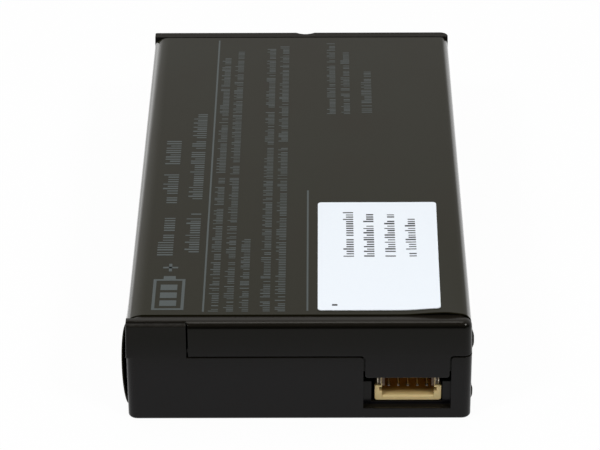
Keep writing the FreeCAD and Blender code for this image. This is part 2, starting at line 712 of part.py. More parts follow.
def make_board_fuse():
    along = about(BOARD_Y + FUSE_SHIFT, FUSE_WIDTH / 2)
    height = (BOARD_TOP, BOARD_TOP + FUSE_HEIGHT)
    body = box(about(FUSE_X, FUSE_LENGTH / 2), along, height)
    waist = about(FUSE_X, FUSE_LENGTH / 2 - FUSE_CAP)
    for side in along:
        body = body.cut(box(waist, about(side, FUSE_WAIST), height))
    return body


def chip_row(y, count, height):
    """Row of small chip parts across the board."""
    along = about(y, CHIP_LENGTH / 2)
    places = [CHIP_X + index * CHIP_SPACING for index in range(count)]
    heights = (BOARD_TOP, BOARD_TOP + height)
    return Part.makeCompound([box(about(x, CHIP_WIDTH / 2), along, heights) for x in places])


def make_chip_capacitors():
    return chip_row(BOARD_Y + CAPACITOR_SHIFT, CAPACITOR_COUNT, CAPACITOR_HEIGHT)


def make_chip_resistors():
    return chip_row(BOARD_Y + RESISTOR_SHIFT, RESISTOR_COUNT, RESISTOR_HEIGHT)


def make_cell():
    section = rectangle(about(0, CELL_WIDTH / 2), (CELL_Z, CELL_TOP), CELL_EDGE_R)
    can = front_prism(section, CELL_FRONT, CELL_REAR)
    can = can.makeFillet(CELL_END_R, [edge for edge in can.Edges if edge.BoundBox.YMin > CELL_REAR - CELL_FIT])
    seat = FreeCAD.Vector(0, CELL_FRONT + RIVET_HEIGHT, TERMINAL_Z)
    rivet = Part.makeCylinder(RIVET_R, 2 * RIVET_HEIGHT, seat, FreeCAD.Vector(0, -1, 0))
    return can.fuse(rivet)


def make_lid_insulator():
    across = about(0, CELL_WIDTH / 2 - CELL_END_R - CARD_MARGIN)
    height = (CELL_Z + CELL_END_R + CARD_MARGIN, CELL_TOP - CELL_END_R - CARD_MARGIN)
    card = front_prism(rectangle(across, height, CARD_CORNER_R), CARD_FRONT, CELL_FRONT)
    hole = FreeCAD.Vector(0, CELL_FRONT, TERMINAL_Z)
    card = card.cut(Part.makeCylinder(RIVET_R + CARD_HOLE_FIT, 2 * CARD, hole, FreeCAD.Vector(0, -1, 0)))
    opening = about(POSITIVE_X, STRIP_WIDTH / 2 + CARD_HOLE_FIT)
    weld = (BOARD_TOP - CARD_HOLE_FIT, BOARD_TOP + POSITIVE_WELD + CARD_HOLE_FIT)
    return card.cut(box(opening, (CARD_FRONT - CARD, CELL_FRONT), weld))


def make_positive_strip():
    path = [(CELL_FRONT, BOARD_TOP), (BOARD_REAR - STRIP_FOOT, BOARD_TOP)]
    path += [(BOARD_REAR - STRIP_FOOT, BOARD_TOP + STRIP), (CELL_FRONT - STRIP, BOARD_TOP + STRIP)]
    path += [(CELL_FRONT - STRIP, BOARD_TOP + POSITIVE_WELD), (CELL_FRONT, BOARD_TOP + POSITIVE_WELD)]
    corners = [(y, z, 0) for y, z in path]
    return side_prism(corners, POSITIVE_X - STRIP_WIDTH / 2, POSITIVE_X + STRIP_WIDTH / 2)


def make_link_strip():
    across = (-RIVET_R, CUTOFF_X)
    return box(across, (RIVET_FRONT - STRIP, RIVET_FRONT), about(TERMINAL_Z, STRIP_WIDTH / 2))


def make_thermal_cutoff():
    across = (CUTOFF_X, CUTOFF_X + CUTOFF_LENGTH)
    rear = CARD_FRONT - CUTOFF_LIFT
    corners = rectangle(across, about(TERMINAL_Z, CUTOFF_WIDTH / 2), STRIP)
    return front_prism(corners, rear - CUTOFF_THICKNESS, rear)


def make_negative_strip():
    left = CUTOFF_X + CUTOFF_LENGTH
    right = left + NEGATIVE_REACH
    rear = RIVET_FRONT
    toe = BOARD_REAR - STRIP_FOOT
    path = [(left, rear - STRIP), (right - STRIP, rear - STRIP), (right - STRIP, toe)]
    path += [(right, toe), (right, rear), (left, rear)]
    top = TERMINAL_Z + STRIP_WIDTH / 2
    return plan_prism([(x, y, 0) for x, y in path], BOARD_TOP, top)


def make_thermistor():
    centre_y = CARD_FRONT - BEAD_THICKNESS / 2
    centre_z = BOARD_TOP + BEAD_RISE
    bead = Part.makeCylinder(
        BEAD_R, BEAD_THICKNESS, FreeCAD.Vector(BEAD_X, CARD_FRONT, centre_z), FreeCAD.Vector(0, -1, 0)
    )
    bead = bead.makeChamfer(BEAD_EDGE, [edge for edge in bead.Edges if edge.BoundBox.YLength < BEAD_EDGE])
    foot_y = centre_y - BEAD_LEAD_RUN
    pieces = []
    for x in about(BEAD_X, BEAD_LEAD_SPREAD):
        run = Part.makeCylinder(
            BEAD_LEAD_R, BEAD_LEAD_RUN, FreeCAD.Vector(x, centre_y, centre_z), FreeCAD.Vector(0, -1, 0)
        )
        pieces += [run, upright(x, foot_y, BEAD_LEAD_R, BOARD_TOP, centre_z + BEAD_LEAD_R)]
    return bead.multiFuse(pieces)


def make_floor_pad():
    across = about(0, CELL_WIDTH / 2 - CELL_EDGE_R)
    along = (CELL_FRONT + CELL_EDGE_R, CELL_REAR - CELL_EDGE_R)
    return plan_prism(rectangle(across, along, CELL_END_R), FLOOR, CELL_Z)


def make_roof_pad():
    across = about(0, CELL_WIDTH / 2 - CELL_EDGE_R)
    along = (CELL_FRONT + CELL_EDGE_R, CELL_REAR - CELL_EDGE_R)
    return plan_prism(rectangle(across, along, CELL_END_R), CELL_TOP, ROOF_Z)


PIECES = {
    "upper_case": make_upper_case,
    "lower_case": make_lower_case,
    "wrap_label": make_wrap_label,
    "part_sticker": make_part_sticker,
    "socket_housing": make_socket_housing,
    "socket_pins": make_socket_pins,
    "socket_nails": make_socket_nails,
    "circuit_board": make_circuit_board,
    "gauge_chip": make_gauge_chip,
    "protection_chip": make_protection_chip,
    "protection_fets": make_protection_fets,
    "sense_resistor": make_sense_resistor,
    "board_fuse": make_board_fuse,
    "chip_capacitors": make_chip_capacitors,
    "chip_resistors": make_chip_resistors,
    "thermistor": make_thermistor,
    "cell": make_cell,
    "lid_insulator": make_lid_insulator,
    "thermal_cutoff": make_thermal_cutoff,
    "link_strip": make_link_strip,
    "negative_strip": make_negative_strip,
    "positive_strip": make_positive_strip,
    "floor_pad": make_floor_pad,
    "roof_pad": make_roof_pad,
}

os.makedirs("parts", exist_ok=True)
for name, make in PIECES.items():
    shape = make()
    shape.exportStep("parts/" + name + ".step")
    print(name, len(shape.Solids), "solids", shape.isValid(), round(shape.Volume, 2), "mm3")
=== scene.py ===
# %% [markdown]
# # A battery pack for a disk controller card
# The pack is two moulded black shells around a flat cell. A dark printed film wraps the top and the
# long sides, a white sticker lies on the film, and a small cream socket sits in a window at the front.
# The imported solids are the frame: they give every place and size below, and most of them are shown as
# they are. The film and the sticker bend and lift a little, so they are made again here.

# %% Load the frame
import math

import bmesh
import bpy
from mathutils import Matrix, Vector


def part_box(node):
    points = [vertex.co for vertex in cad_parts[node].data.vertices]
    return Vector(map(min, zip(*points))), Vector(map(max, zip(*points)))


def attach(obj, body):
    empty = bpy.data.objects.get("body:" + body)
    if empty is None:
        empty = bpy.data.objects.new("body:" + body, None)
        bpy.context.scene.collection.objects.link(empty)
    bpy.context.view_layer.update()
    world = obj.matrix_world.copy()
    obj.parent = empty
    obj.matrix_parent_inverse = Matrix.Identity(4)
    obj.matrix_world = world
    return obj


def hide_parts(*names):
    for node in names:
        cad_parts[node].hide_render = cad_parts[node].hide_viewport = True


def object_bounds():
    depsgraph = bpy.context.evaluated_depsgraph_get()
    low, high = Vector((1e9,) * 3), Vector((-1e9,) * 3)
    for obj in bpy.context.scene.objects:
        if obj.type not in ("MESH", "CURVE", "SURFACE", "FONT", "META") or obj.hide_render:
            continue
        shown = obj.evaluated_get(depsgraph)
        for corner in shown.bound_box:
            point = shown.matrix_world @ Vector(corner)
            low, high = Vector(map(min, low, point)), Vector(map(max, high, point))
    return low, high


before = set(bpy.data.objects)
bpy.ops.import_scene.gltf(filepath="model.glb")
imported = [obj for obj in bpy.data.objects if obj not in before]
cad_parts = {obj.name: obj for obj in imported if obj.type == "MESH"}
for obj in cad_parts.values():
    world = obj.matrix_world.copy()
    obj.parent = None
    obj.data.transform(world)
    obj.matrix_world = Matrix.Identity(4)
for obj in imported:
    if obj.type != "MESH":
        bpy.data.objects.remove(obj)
cad_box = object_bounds()
MM = 0.001
print("pieces in the frame:", len(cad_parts))

# %% [markdown]
# ## Sums that add nodes
# A finish or a shape that follows a rule is easiest to read as a sum. One small class wraps a node's
# output, and its operators add Math nodes, so that `1 - mask` is both Python and nodes. Every other
# node comes from one method. The same two classes serve materials, the world and Geometry Nodes.


# %% Values
class Value:
    """A node's output that can stand in a sum."""

    def __init__(self, tree, socket):
        self.tree = tree
        self.socket = socket

    def __add__(self, other):
        return self.tree.math("ADD", self, other)

    def __radd__(self, other):
        return self.tree.math("ADD", other, self)

    def __sub__(self, other):
        return self.tree.math("SUBTRACT", self, other)

    def __rsub__(self, other):
        return self.tree.math("SUBTRACT", other, self)

    def __mul__(self, other):
        return self.tree.math("MULTIPLY", self, other)

    def __rmul__(self, other):
        return self.tree.math("MULTIPLY", other, self)

    def __truediv__(self, other):
        return self.tree.math("DIVIDE", self, other)

    def __rtruediv__(self, other):
        return self.tree.math("DIVIDE", other, self)

    def also(self, name):
        """Another output of the same node."""
        return Value(self.tree, self.socket.node.outputs[name])


print("values can stand in a sum")


# %% Trees
class Tree:
    """A node tree with one method that adds any node."""

    def __init__(self, tree):
        self.tree = tree

    def feed(self, socket, given):
        """Links a value to a socket, or sets a constant on it."""
        if isinstance(given, Value):
            self.tree.links.new(given.socket, socket)
        else:
            socket.default_value = given

    def node(self, kind, settings, inputs, output=0):
        """Adds a node of any kind: its settings first, then its sockets by name or number."""
        made = self.tree.nodes.new(kind)
        for name, setting in settings.items():
            setattr(made, name, setting)
        for place, given in inputs.items():
            self.feed(made.inputs[place], given)
        return Value(self, made.outputs[output])

    def math(self, operation, *given):
        """Adds a Math node."""
        return self.node("ShaderNodeMath", {"operation": operation}, dict(enumerate(given)))

    def ramp(self, value, low, high):
        """Rises smoothly from 0 at one number to 1 at another; it falls where the first is larger."""
        settings = {"interpolation_type": "SMOOTHSTEP"}
        return self.node("ShaderNodeMapRange", settings, {0: value, 1: low, 2: high, 3: 0.0, 4: 1.0})


print("sums add nodes")

# %% [markdown]
# ## The camera
# The photograph was taken with a long lens, a little above the pack and almost straight in front of
# it. Three angles and a place give the camera's three axes, and the lens sets how large the pack is.

# %% Camera
CAMERA_PLACE = Vector((2.71, -371.44, 217.35)) * MM
CAMERA_RISE = math.radians(29.75)
CAMERA_YAW = math.radians(-0.431)
CAMERA_ROLL = math.radians(-0.349)
LENS = 179.9
NEAR_LIMIT = 10 * MM

level = math.cos(CAMERA_RISE)
ahead = Vector((math.sin(CAMERA_YAW) * level, math.cos(CAMERA_YAW) * level, -math.sin(CAMERA_RISE)))
right = Vector((math.cos(CAMERA_YAW), -math.sin(CAMERA_YAW), 0))
turn = Matrix.Rotation(CAMERA_ROLL, 3, -ahead)
axes = Matrix((turn @ right, turn @ right.cross(ahead), -ahead)).transposed()
camera = bpy.data.objects.new("camera", bpy.data.cameras.new("camera"))
camera.matrix_world = Matrix.Translation(CAMERA_PLACE) @ axes.to_4x4()
camera.data.lens = LENS
camera.data.clip_start = NEAR_LIMIT
bpy.context.scene.collection.objects.link(camera)
bpy.context.scene.camera = camera
print("camera stands", round(CAMERA_PLACE.length / MM), "mm away")

# %% [markdown]
# ## Finishes
# Every finish is a Principled shader whose colour, roughness and grain change a little over the
# surface, as moulded, printed or plated surfaces do. What is the same all over is set on the shader.


# %% A finish and its grain
class Finish(Tree):
    """A material with one Principled shader."""

    # A Mix node has sockets for each kind of data, and these are the ones for colours.
    MIX_INPUTS = (0, 6, 7)
    MIX_OUTPUT = 2

    def __init__(self, name, constants):
        self.material = bpy.data.materials.new(name)
        self.material.use_nodes = True
        super().__init__(self.material.node_tree)
        self.shader = self.tree.nodes["Principled BSDF"]
        for socket, constant in constants.items():
            self.shader.inputs[socket].default_value = constant
        self.place = self.node("ShaderNodeTexCoord", {}, {}, "Object")

    def noise(self, size, stretch=(1, 1, 1)):
        """Soft noise between 0 and 1 whose spots are about as large as the size."""
        scale = [way / size for way in stretch]
        scaled = self.node("ShaderNodeMapping", {}, {"Vector": self.place, "Scale": scale})
        return self.node("ShaderNodeTexNoise", {}, {"Vector": scaled, "Scale": 1.0})

    def mix(self, mask, first, second):
        """Colour that goes from one to another with a mask."""
        colours = [end if isinstance(end, Value) else (*end, 1.0) for end in (first, second)]
        ends = dict(zip(self.MIX_INPUTS, (mask, *colours)))
        return self.node("ShaderNodeMix", {"data_type": "RGBA"}, ends, self.MIX_OUTPUT)

    def grain(self, height, distance, strength, under=None):
        """Normal with a fine relief, over another normal where one is given."""
        inputs = {"Height": height, "Distance": distance, "Strength": strength}
        if under:
            inputs["Normal"] = under
        return self.node("ShaderNodeBump", {}, inputs)

    def wear(self, colour, roughness, normal):
        """Feeds what changes over the surface to the shader."""
        self.feed(self.shader.inputs["Base Color"], colour)
        self.feed(self.shader.inputs["Roughness"], roughness)
        self.feed(self.shader.inputs["Normal"], normal)


def dress(finish, *nodes):
    """Gives solids of the frame a finish."""
    for node in nodes:
        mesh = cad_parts[node].data
        mesh.materials.clear()
        mesh.materials.append(finish.material)


print("finishes can be made")

# %% [markdown]
# ## The moulded shells
# Both shells are black plastic from a lightly etched mould: nearly smooth, with soft edges. A Bevel
# node rounds the edges for the light alone, and two noises give the grain and the faint cloudiness.

# %% Black plastic
EDGE_SOFTNESS = 0.12 * MM
EDGE_RAYS = 6
GRAIN = 0.16 * MM
CLOUD = 9 * MM

plastic = Finish("black_plastic", {"Specular IOR Level": 0.15, "Specular Tint": (1.0, 0.98, 0.91, 1.0)})
cloud = plastic.noise(CLOUD)
etching = plastic.noise(GRAIN)
soft_edge = plastic.node("ShaderNodeBevel", {"samples": EDGE_RAYS}, {"Radius": EDGE_SOFTNESS})
x = plastic.node("ShaderNodeSeparateXYZ", {}, {0: plastic.place})
y = x.also("Y")
z = x.also("Z")
print("plastic has cloud, grain and soft edges")

# %% [markdown]
# The lower shell has an ear at the front left, and its upper edge is thin. That edge is pale in specks:
# partly wear, and partly a painted highlight where the edge catches the light. Behind it the plastic
# rounds over in a slightly wavy lip. Both are masks made from places: on the ear, and so near to its
# edge. The lip is only a few tenths of a millimetre, so a Bump node leans the normal there.

# %% The ear's pale edge and its lip
EAR_WIDTH = 8 * MM
EAR_FADE = 0.2 * MM
EDGE_DEPTH = 0.5 * MM
EDGE_FADE = 0.1 * MM
PALE_HEIGHT = 0.4 * MM
EDGE_SPECK_SIZE = 0.4 * MM
LIP = 0.25 * MM
LIP_START = 0.9 * LIP
LIP_END = 2.2 * LIP
LIP_RELIEF = 1.3 * LIP
LIP_WAVE = 1.5 * MM
LIP_FOOT = 5 * MM
LIP_FULL = 1 * MM
shell_low, shell_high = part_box("lower_case")
EAR_TOP = shell_high.z
EAR_RIGHT = shell_low.x + EAR_WIDTH
EDGE_REAR = shell_low.y + EDGE_DEPTH

on_ear = plastic.ramp(x, EAR_RIGHT, EAR_RIGHT - EAR_FADE)
at_top = plastic.ramp(z, EAR_TOP - PALE_HEIGHT, EAR_TOP)
at_front = plastic.ramp(y, EDGE_REAR, EDGE_REAR - EDGE_FADE)
edge_specks = plastic.ramp(plastic.noise(EDGE_SPECK_SIZE, (0.5, 1, 1)), 0.1, 0.7)
# Pale specks on the ear's edge: partly wear, partly a painted highlight where the edge catches the
# light.
worn_and_lit_edge = on_ear * at_top * at_front * edge_specks
wavy = y + LIP * plastic.noise(LIP_WAVE)
lip = plastic.ramp(wavy, EDGE_REAR + LIP_START, EDGE_REAR + LIP_END)
near_top = plastic.ramp(z, EAR_TOP - LIP_FOOT, EAR_TOP - LIP_FULL)
rounded = plastic.grain(on_ear * near_top * (lip - 1), LIP_RELIEF, 1.0, soft_edge)
print("ear is", round(EAR_TOP / MM, 1), "mm high")

# %% [markdown]
# Faces that look up, which the normal's Z tells, are lighter and warmer. The walls are painted darker
# high up and a touch lighter and bluer low down, as painted light and shade for how the light falls on
# them.
# The rear end, where fingers pull the pack out, has gone dull.

# %% Upward faces, painted light on the walls, and handling
UPWARD_START = 0.3
UPWARD_FULL = 0.95
PAINTED_LIGHT_TOP = 14 * MM
PAINTED_LIGHT_FOOT = 6 * MM
HANDLED = 2 * MM
HANDLED_FULL = 1.6 * MM

outward = plastic.node("ShaderNodeNewGeometry", {}, {}, "Normal")
upwards = plastic.node("ShaderNodeSeparateXYZ", {}, {0: outward}, "Z")
facing_up = plastic.ramp(upwards, UPWARD_START, UPWARD_FULL)
painted_light_low = plastic.ramp(z, PAINTED_LIGHT_TOP, PAINTED_LIGHT_FOOT)
handled = plastic.ramp(y, shell_high.y - HANDLED, shell_high.y - HANDLED_FULL)
shaded_high = plastic.mix(cloud, (0.0008, 0.0007, 0.0003), (0.0016, 0.0014, 0.0009))
lit_low = plastic.mix(cloud, (0.0049, 0.0047, 0.0058), (0.0061, 0.0058, 0.007))
up_tone = plastic.mix(cloud, (0.0095, 0.008, 0.0056), (0.011, 0.0092, 0.0066))
black = plastic.mix(facing_up, plastic.mix(painted_light_low, shaded_high, lit_low), up_tone)
# Painted light and shade: the walls are darker high up and lighter low down; faces that look up are
# lighter and warmer.
plastic.wear(
    plastic.mix(worn_and_lit_edge, black, (0.036, 0.034, 0.031)),
    0.16 + 0.05 * cloud + 0.04 * etching + 0.5 * handled,
    plastic.grain(etching, 0.012 * MM, 0.35, rounded),
)
dress(plastic, "upper_case", "lower_case")
print("shells dressed")

# %% [markdown]
# ## Meshes that follow a rule
# What repeats, or follows a rule, is grown by a Geometry Nodes tree with named inputs for its sizes.
# The tree ends in real geometry with its material. The result is then kept as a plain mesh.


# %% Growing a mesh
class Growth(Tree):
    """A Geometry Nodes tree with named inputs that makes one mesh."""

    def __init__(self, name, whole, *sizes):
        group = bpy.data.node_groups.new(name, "GeometryNodeTree")
        super().__init__(group)
        group.interface.new_socket("Geometry", in_out="OUTPUT", socket_type="NodeSocketGeometry")
        group.interface.new_socket("Material", in_out="INPUT", socket_type="NodeSocketMaterial")
        for size in whole:
            group.interface.new_socket(size, in_out="INPUT", socket_type="NodeSocketInt")
        for size in sizes:
            group.interface.new_socket(size, in_out="INPUT", socket_type="NodeSocketFloat")
        self.inputs = group.nodes.new("NodeGroupInput").outputs

    def size(self, name):
        """One of the tree's inputs, as a value."""
        return Value(self, self.inputs[name])

    def grid(self, width, length):
        """A flat grid with as many points as the tree's two whole numbers say."""
        sizes = {"Size X": width, "Size Y": length}
        sizes["Vertices X"] = self.size("Points Across")
        sizes["Vertices Y"] = self.size("Points Along")
        return self.node("GeometryNodeMeshGrid", {}, sizes)

    def position(self):
        """X and Y of each point, as values."""
        place = self.node("GeometryNodeInputPosition", {}, {})
        parts = self.node("ShaderNodeSeparateXYZ", {}, {0: place})
        return parts, parts.also("Y")

    def vector(self, x, y, z):
        """Three numbers as one place or size."""
        return self.node("ShaderNodeCombineXYZ", {}, {0: x, 1: y, 2: z})

    def close(self, geometry):
        """Ends the tree in real geometry with its material."""
        real = self.node("GeometryNodeRealizeInstances", {}, {"Geometry": geometry})
        ends = {"Geometry": real, "Material": self.size("Material")}
        dressed = self.node("GeometryNodeSetMaterial", {}, ends)
        self.feed(self.tree.nodes.new("NodeGroupOutput").inputs[0], dressed)

    def grow(self, finish, sizes, wall=0.0):
        """Runs the tree and returns its result as a plain mesh, with a wall inwards if one is given."""
        carrier = bpy.data.objects.new(self.tree.name, bpy.data.meshes.new(self.tree.name))
        bpy.context.scene.collection.objects.link(carrier)
        growth = carrier.modifiers.new("growth", "NODES")
        growth.node_group = self.tree
        for item in self.tree.interface.items_tree:
            if item.name == "Material":
                growth[item.identifier] = finish.material
            elif item.in_out == "INPUT":
                growth[item.identifier] = sizes[item.name]
        if wall:
            thickness = carrier.modifiers.new("wall", "SOLIDIFY")
            thickness.thickness = wall
            thickness.offset = -1
        ready = carrier.evaluated_get(bpy.context.evaluated_depsgraph_get())
        mesh = bpy.data.meshes.new_from_object(ready)
        bpy.data.objects.remove(carrier)
        return mesh


def show(name, mesh, slot, *nodes):
    """Puts a mesh in the scene as a piece of the pack, in place of these solids."""
    piece = bpy.data.objects.new(name, mesh)
    bpy.context.scene.collection.objects.link(piece)
    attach(piece, "root")
    if nodes:
        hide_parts(*nodes)
    print(name, "has", len(mesh.polygons), "faces")


print("meshes can be grown")

# %% [markdown]
# ## The film's shape
# One sheet of film lies on the top, rolls over both long edges and is glued down the sides. It could
# be a bent plane, but every point follows from how far across and along the sheet it lies, so the
# tree places a flat grid by sums: flat, then a turn, then a side. The left turn is wider than the
# right one. The left side bows out at the front, the right one in two small places only, and the
# front right corner has come unstuck and stands up.

# %% Sizes of the film
film_low, film_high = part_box("wrap_label")
FILM_TOP = film_high.z
FILM_FRONT = film_low.y
FILM_REAR = film_high.y
FILM_FOOT = film_low.z
FILM_WALL = 0.18 * MM
FILM_HALF = 22.35 * MM
LEFT_ROLL = 2.3 * MM
RIGHT_ROLL = 1.25 * MM
ROLL_DROP = 1.25 * MM
FILM_FLARE = 0.07 * MM
SNUG_BOW = 0.1 * MM
LEFT_BOW = 0.72 * MM
LEFT_REACH = 2.5 * MM
RIGHT_BULGE = 0.32 * MM
RIGHT_REACH = 3 * MM
UPPER_BULGE = (0.2, 0.105)
LOWER_BULGE = (0.85, 0.08)
LOWER_SHARE = 0.8
CORNER_LIFT = 0.34 * MM
LIFT_START = 13 * MM
LIFT_CREST = 19 * MM
LIFT_END = 22.2 * MM
LIFT_REACH = 9 * MM
print("film is", round((FILM_REAR - FILM_FRONT) / MM, 1), "mm long")


# %% The lifted corner and the bowed sides
def fade(tree, y, reach):
    """1 at the film's front edge, dying away towards the rear."""
    return tree.math("EXPONENT", (FILM_FRONT - y) / reach)


def corner_lift(tree, x, y):
    """How far the film stands up near its front right corner."""
    across = tree.ramp(x, LIFT_START, LIFT_CREST) * tree.ramp(x, LIFT_END, LIFT_CREST)
    return tree.size("Lift") * across * fade(tree, y, LIFT_REACH)


def bulge(tree, value, middle, width):
    """A bump of height 1 with a flat top around one place."""
    off = (value - middle) / width
    return tree.math("EXPONENT", -1 * off * off * off * off)


def left_bow(tree, down, y):
    """The left side's stand-off: one full bow at the front."""
    arch = 2 * tree.math("SQRT", down * (1 - down))
    return arch * (SNUG_BOW + tree.size("Left Bow") * fade(tree, y, LEFT_REACH))


def right_bow(tree, down, y):
    """The right side's stand-off: snug, with a bulge under the roll and one near the foot."""
    bulges = bulge(tree, down, *UPPER_BULGE) + LOWER_SHARE * bulge(tree, down, *LOWER_BULGE)
    snug = 4 * SNUG_BOW * down * (1 - down)
    return snug + tree.size("Right Bulge") * bulges * fade(tree, y, RIGHT_REACH)


print("bows and lift can be added")

# %% Grow the film
SHEET_POINTS = ("Points Across", "Points Along")
FILM_INPUTS = ("Left Roll", "Right Roll", "Drop", "Left Bow", "Right Bulge", "Lift")
QUARTER_OVAL = 1.25 / 1.5

film_tree = Growth("film", SHEET_POINTS, *FILM_INPUTS)
# The sheet runs from -1 to 1 across and from -0.5 to 0.5 along.
sheet = film_tree.grid(2.0, 1.0)
across, along = film_tree.position()
is_right = film_tree.math("GREATER_THAN", across, 0.0)
roll = is_right * film_tree.size("Right Roll") + (1 - is_right) * film_tree.size("Left Roll")
roll_drop = film_tree.size("Drop")
side_height = FILM_TOP - FILM_FOOT - roll_drop
turned = QUARTER_OVAL * (roll + roll_drop)
flat_end = FILM_HALF - roll
distance = film_tree.math("ABSOLUTE", across) * (flat_end + turned + side_height)
flat = film_tree.math("MINIMUM", distance, flat_end)
over = film_tree.math("MAXIMUM", distance - flat_end, 0.0)
bend = film_tree.math("MINIMUM", over / turned, 1.0)
angle = math.pi / 2 * bend
down = film_tree.math("MAXIMUM", over - turned, 0.0) / side_height
share = along + 0.5
# The square packs the points towards the front, where the film bends most.
y = FILM_FRONT + share * share * (FILM_REAR - FILM_FRONT)
bow = is_right * right_bow(film_tree, down, y) + (1 - is_right) * left_bow(film_tree, down, y)
reach = flat + roll * film_tree.math("SINE", angle) + FILM_FLARE * down + bend * bend * bow
x = film_tree.math("SIGN", across) * reach
z = FILM_TOP - roll_drop * (1 - film_tree.math("COSINE", angle)) - side_height * down
lifted = z + corner_lift(film_tree, x, y)
ends = {"Geometry": sheet, "Position": film_tree.vector(x, y, lifted)}
film_tree.close(film_tree.node("GeometryNodeSetPosition", {}, ends))
print("film tree has", len(film_tree.tree.nodes), "nodes")

# %% [markdown]
# ## The film's finish
# The film is dark, with a satin surface. A clear lacquer on it mirrors the bright room, but only at a
# low angle, so that the rolled edges shine: Layer Weight tells how far a face turns from the eye, and
# a ramp of it feeds the coat. Two blacks, one warmer than the other, drift into each other, and long
# shallow waves break the mirror.

# %% Film finish
FILM_WAVE = 14 * MM
FILM_PEEL = 0.5 * MM
FILM_DRIFT = 11 * MM
SHINE_START = 0.575
SHINE_FULL = 0.665
FILM_SURFACE = {
    "Specular IOR Level": 0.114,
    "Specular Tint": (1.0, 0.96, 0.88, 1.0),
    "Coat Roughness": 0.15,
}

film_finish = Finish("dark_film", FILM_SURFACE)
facing = film_finish.node("ShaderNodeLayerWeight", {}, {"Blend": 0.5}, "Facing")
shine = film_finish.ramp(facing, SHINE_START, SHINE_FULL)
film_finish.feed(film_finish.shader.inputs["Coat Weight"], shine)
drift = film_finish.noise(FILM_DRIFT)
wave = film_finish.noise(FILM_WAVE, (1, 0.5, 1))
peel = film_finish.noise(FILM_PEEL)
waved = film_finish.grain(wave, 0.12 * MM, 0.25)
film_finish.wear(
    film_finish.mix(drift, (0.0088, 0.009, 0.0022), (0.0112, 0.0086, 0.003)),
    0.3 + 0.08 * drift + 0.05 * peel,
    film_finish.grain(peel, 0.004 * MM, 0.3, waved),
)
print("film finish has", len(film_finish.tree.nodes), "nodes")

# %% Lay the film
FILM_POINTS = (321, 90)
SHARP_ANGLE = math.radians(40)


def smooth(mesh):
    """Shades a bent sheet smoothly and leaves its cut edges sharp."""
    mesh.shade_smooth()
    mesh.set_sharp_from_angle(angle=SHARP_ANGLE)


film_sizes = dict(zip(SHEET_POINTS, FILM_POINTS))
film_sizes.update({"Left Roll": LEFT_ROLL, "Right Roll": RIGHT_ROLL, "Drop": ROLL_DROP})
film_sizes.update({"Left Bow": LEFT_BOW, "Right Bulge": RIGHT_BULGE, "Lift": CORNER_LIFT})
film_mesh = film_tree.grow(film_finish, film_sizes, FILM_WALL)
smooth(film_mesh)
show("film", film_mesh, "film", "wrap_label")

# %% [markdown]
# ## The sticker
# The sticker is a white coated paper with round corners, cut and stuck a little out of square. It lies
# on the film and rises with it at the front right. Its tree bends a grid: near a corner the square
# grid is drawn in to a quarter circle, and each row widens and shifts a little towards the rear.

# %% Grow the sticker
sticker_low, sticker_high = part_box("part_sticker")
STICKER_WALL = sticker_high.z - sticker_low.z
STICKER_ROUND = 0.5 * MM
STICKER_WIDEN = 1.01
STICKER_SPREAD = 0.02
STICKER_TURN = 0.2 * MM
TURN_MIDDLE = 0.4
TINY = 0.001 * MM
middle = (sticker_low + sticker_high) / 2
half = (sticker_high - sticker_low) / 2

sticker_tree = Growth("sticker", SHEET_POINTS, "Top", "Corner", "Spread", "Turn", "Lift")
sheet = sticker_tree.grid(2 * half.x, 2 * half.y)
across, along = sticker_tree.position()
corner = sticker_tree.size("Corner")
over_x = sticker_tree.math("MAXIMUM", sticker_tree.math("ABSOLUTE", across) - half.x + corner, 0.0)
over_y = sticker_tree.math("MAXIMUM", sticker_tree.math("ABSOLUTE", along) - half.y + corner, 0.0)
reach = sticker_tree.math("SQRT", over_x * over_x + over_y * over_y) + TINY
drawn_in = 1 - sticker_tree.math("MAXIMUM", over_x, over_y) / reach
rearward = along / (2 * half.y) + 0.5
spread = STICKER_WIDEN + sticker_tree.size("Spread") * rearward
turned = sticker_tree.size("Turn") * (rearward - TURN_MIDDLE)
x = middle.x + turned + spread * (across - sticker_tree.math("SIGN", across) * over_x * drawn_in)
y = middle.y + along - sticker_tree.math("SIGN", along) * over_y * drawn_in
z = sticker_tree.size("Top") + corner_lift(sticker_tree, x, y)
ends = {"Geometry": sheet, "Position": sticker_tree.vector(x, y, z)}
sticker_tree.close(sticker_tree.node("GeometryNodeSetPosition", {}, ends))
print("sticker tree has", len(sticker_tree.tree.nodes), "nodes")

# %% Sticker finish
PAPER_FIBRE = 0.3 * MM
STICKER_POINTS = (83, 141)

paper = Finish("white_paper", {"Specular IOR Level": 0.3})
fibre = paper.noise(PAPER_FIBRE)
paper.wear(
    paper.mix(fibre, (0.79, 0.835, 0.89), (0.82, 0.865, 0.91)),
    0.5 + 0.1 * fibre,
    paper.grain(fibre, 0.01 * MM, 0.15),
)
sticker_sizes = dict(zip(SHEET_POINTS, STICKER_POINTS))
sticker_sizes.update({"Top": sticker_high.z, "Corner": STICKER_ROUND, "Lift": CORNER_LIFT})
sticker_sizes.update({"Spread": STICKER_SPREAD, "Turn": STICKER_TURN})
sticker_mesh = sticker_tree.grow(paper, sticker_sizes, STICKER_WALL)
smooth(sticker_mesh)
show("sticker", sticker_mesh, "sticker", "part_sticker")

# %% [markdown]
# ## The print
# Small print fills most of the film, in rows that run from the front to the rear. From a step away a
# row is a grey band of short strokes, so a tree sets plain bars along a line: each stands for a sign,
# its width and height are drawn by lot, and a bar left out makes the gap between two words. A row's
# weight is the share of its pitch that a bar fills.

